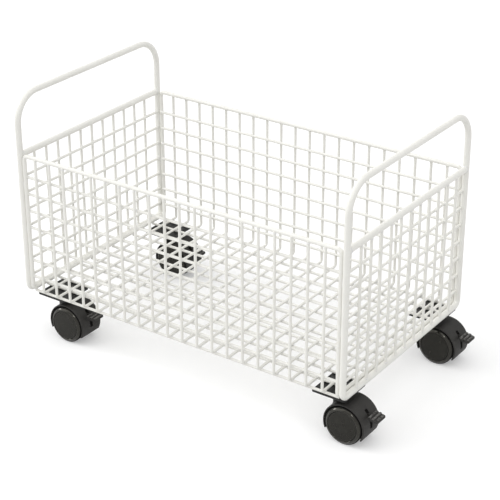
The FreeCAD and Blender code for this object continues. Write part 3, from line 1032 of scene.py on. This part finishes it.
def pedal_piece(corner, place):
    """The brake pedal of one caster: foot plate with ribs, lever, pivot boss and the arm of the brake bar."""
    low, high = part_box(corner + "_brake_pedal")
    half_width = (high[1] - low[1]) / 2
    tip_x = high[0] - place[0]
    hood_low, hood_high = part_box(corner + "_hood")
    root = (hood_high[0] - hood_low[0]) / 2 + pedal_gap
    root_top = polar(root, pedal_high_angle)
    root_low = polar(root, pedal_low_angle)
    tip_top = (tip_x, root_top[1] - pedal_drop)
    tip_low = (tip_x, tip_top[1] - pedal_tip)
    mesh = bmesh.new()
    faces = add_prism(mesh, place, [root_top, tip_top, tip_low, root_low], -half_width, half_width)
    tip_edges = set()
    for face in faces:
        for edge in face.edges:
            ends = [v.co for v in edge.verts]
            upright = abs(ends[0].x - ends[1].x) < hair and abs(ends[0].y - ends[1].y) < hair
            if upright and ends[0].x > place[0] + tip_x - hair:
                tip_edges.add(edge)
    bmesh.ops.bevel(mesh, geom=list(tip_edges), offset=pedal_corner, segments=pedal_corner_steps, profile=0.5,
                    affect="EDGES")
    run = Vector((tip_top[0] - root_top[0], tip_top[1] - root_top[1]))
    step = run.length / pedal_ribs
    along = run.normalized()
    up = Vector((-along.y, along.x))
    for k in range(pedal_ribs):
        start = Vector(root_top) + along * (step * (k + 0.5) - rib_width / 2)
        end = start + along * rib_width
        bar = [start - up * rib_height, start + up * rib_height, end + up * rib_height, end - up * rib_height]
        trim = pedal_corner if k == pedal_ribs - 1 else 0.0
        add_prism(mesh, place, [tuple(p) for p in bar], trim - half_width, half_width - trim)
    pivot = polar(pivot_radius, pivot_angle)
    lever = [(pivot[0], pivot[1] + lever_half_depth), root_top, root_low,
             (pivot[0], pivot[1] - lever_half_depth)]
    add_prism(mesh, place, lever, -lever_half, lever_half)
    bar = polar(bar_radius_from_axle, bar_angle)
    arm = [(pivot[0] - bar_lobe_radius, pivot[1]), (bar[0] - bar_lobe_radius, bar[1]),
           (bar[0] + bar_lobe_radius, bar[1]), (pivot[0] + bar_lobe_radius, pivot[1])]
    add_prism(mesh, place, arm, -lever_half, lever_half)
    for centre, size in ((pivot, pivot_boss_radius), (bar, bar_lobe_radius)):
        ring = [polar(size, 360.0 * k / lobe_sides) for k in range(lobe_sides)]
        add_prism(mesh, place, [(centre[0] + x, centre[1] + z) for x, z in ring], -lever_half, lever_half)
    made = moulded(corner + "_moulded_pedal", mesh, pedal_soften, black)
    lighten_rib_tops(made, place, root_top, up)
    body = corner + "_brake_pedal"
    show(corner + "_moulded_pedal", made, body, [body])


def lighten_rib_tops(mesh, place, root_top, up):
    """Marks the tops of a pedal's ribs as rubbed, which lightens them: partly shoe wear, partly a painted
    highlight of their lit tops.
    """
    rubbed = mesh.attributes["rubbed"]
    for index, point in enumerate(mesh.vertices):
        out = Vector((point.co.x - place[0] - root_top[0], point.co.z - place[2] - root_top[1]))
        if out.dot(up) > rib_height * rib_rub_share and point.co.x > place[0] + root_top[0]:
            rubbed.data[index].value = rib_top_wear_and_highlight


def plate_piece(corner):
    """The mounting plate of one caster: a flat plate with round corners and eased edges."""
    low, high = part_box(corner + "_plate")
    mesh = bmesh.new()
    centre = [(low[k] + high[k]) / 2 for k in range(3)]
    outline = []
    for turn, sx, sy in ((0, 1, 1), (90, -1, 1), (180, -1, -1), (270, 1, -1)):
        for k in range(plate_corner_steps + 1):
            x, y = polar(plate_corner, turn + 90.0 * k / plate_corner_steps)
            outline.append((sx * ((high[0] - low[0]) / 2 - plate_corner) + x,
                            sy * ((high[1] - low[1]) / 2 - plate_corner) + y))
    thick = (high[2] - low[2]) / 2
    rings = [[mesh.verts.new(at(centre, x, y, z)) for x, y in outline] for z in (-thick, thick)]
    add_closed(mesh, rings)
    made = moulded(corner + "_pressed_plate", mesh, plate_soften, plate_finish)
    show(corner + "_pressed_plate", made, "basket", [corner + "_plate"])


def caster(corner):
    """All pieces of one caster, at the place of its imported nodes."""
    wheel = corner + "_front_wheel"
    place = (middle(wheel, 0), middle(corner + "_hood", 1), middle(wheel, 2))
    trail = place[0] - middle(corner + "_kingpin", 0)
    hood_piece(corner, place, trail)
    wheel_piece(wheel, place, -1)
    wheel_piece(corner + "_back_wheel", place, 1)
    pedal_piece(corner, place)
    plate_piece(corner)
    for node, finish in (("swivel_bush", black), ("kingpin", plate_finish), ("axle", steel),
                         ("pedal_pin", steel), ("brake_bar", steel)):
        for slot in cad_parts[corner + "_" + node].material_slots:
            slot.material = finish


# Studio

def seen_rays(tree):
    """One for the rays that show the background itself, to the eye or in metal and glass, and else zero."""
    rays = add_node(tree, "ShaderNodeLightPath").outputs
    straight = maths(tree, "MAXIMUM", rays["Is Camera Ray"], rays["Is Glossy Ray"])
    return maths(tree, "MAXIMUM", straight, rays["Is Transmission Ray"])


def light_path_world():
    """A soft even dome that the camera and reflections see as plain white."""
    world = bpy.data.worlds.new("soft_dome")
    bpy.context.scene.world = world
    world.use_nodes = True
    tree = world.node_tree
    back = tree.nodes["Background"]
    level = ranged(tree, seen_rays(tree), 0.0, 1.0, dome_level, 1.0)
    back.inputs["Color"].default_value = (1.0, 1.0, 1.0, 1)
    tree.links.new(level, back.inputs["Strength"])


def pale_floor():
    """A wide pale floor that reads as white and keeps the cart's soft shadow."""
    mesh = bpy.data.meshes.new("studio_floor")
    edges = [(x * floor_reach, y * floor_reach, 0) for x, y in ((-1, -1), (1, -1), (1, 1), (-1, 1))]
    mesh.from_pydata(edges, [], [(0, 1, 2, 3)])
    floor = bpy.data.objects.new("studio_floor", mesh)
    bpy.context.scene.collection.objects.link(floor)
    material, tree, shader = finish_material("pale_floor")
    shader.inputs["Base Color"].default_value = (floor_tone, floor_tone, floor_tone, 1)
    shader.inputs["Roughness"].default_value = 0.9
    shader.inputs["Specular IOR Level"].default_value = 0.0
    shader.inputs["Emission Color"].default_value = (1, 1, 1, 1)
    level = maths(tree, "MULTIPLY", seen_rays(tree), floor_lift)
    tree.links.new(level, shader.inputs["Emission Strength"])
    mesh.materials.append(material)


def sun(name, azimuth, elevation, strength, softness):
    """A wide soft lamp from a direction, given as where it stands."""
    lamp = bpy.data.lights.new(name, "SUN")
    lamp.energy = strength
    lamp.angle = math.radians(softness)
    holder = bpy.data.objects.new(name, lamp)
    bpy.context.scene.collection.objects.link(holder)
    back = looking_back(azimuth, elevation)
    holder.rotation_euler = back.to_track_quat("Z", "Y").to_euler()


def looking_back(azimuth, elevation):
    """The direction from the cart to a viewer or lamp: azimuth 0 is in front, 90 at the right end."""
    a = math.radians(azimuth)
    e = math.radians(elevation)
    return Vector((math.sin(a) * math.cos(e), -math.cos(a) * math.cos(e), math.sin(e)))


def photo_camera():
    """The camera at the photograph's viewing angle."""
    data = bpy.data.cameras.new("photo_camera")
    data.sensor_width = camera_sensor
    data.lens = camera_lens
    camera = bpy.data.objects.new("photo_camera", data)
    bpy.context.scene.collection.objects.link(camera)
    camera.location = camera_place
    back = looking_back(camera_azimuth, camera_elevation)
    camera.rotation_euler = back.to_track_quat("Z", "Y").to_euler()
    data.clip_end = camera_reach
    bpy.context.scene.camera = camera


basket_rods()
basket_wires()
side_welds("front", -1)
side_welds("back", 1)
floor_welds()
end_welds("left", -1)
end_welds("right", 1)
for place_name in corners:
    caster(place_name + "_caster")

light_path_world()
pale_floor()
for lamp_name, lamp_values in lamps.items():
    sun(lamp_name, *lamp_values)
photo_camera()
bpy.context.scene.view_settings.view_transform = "Standard"
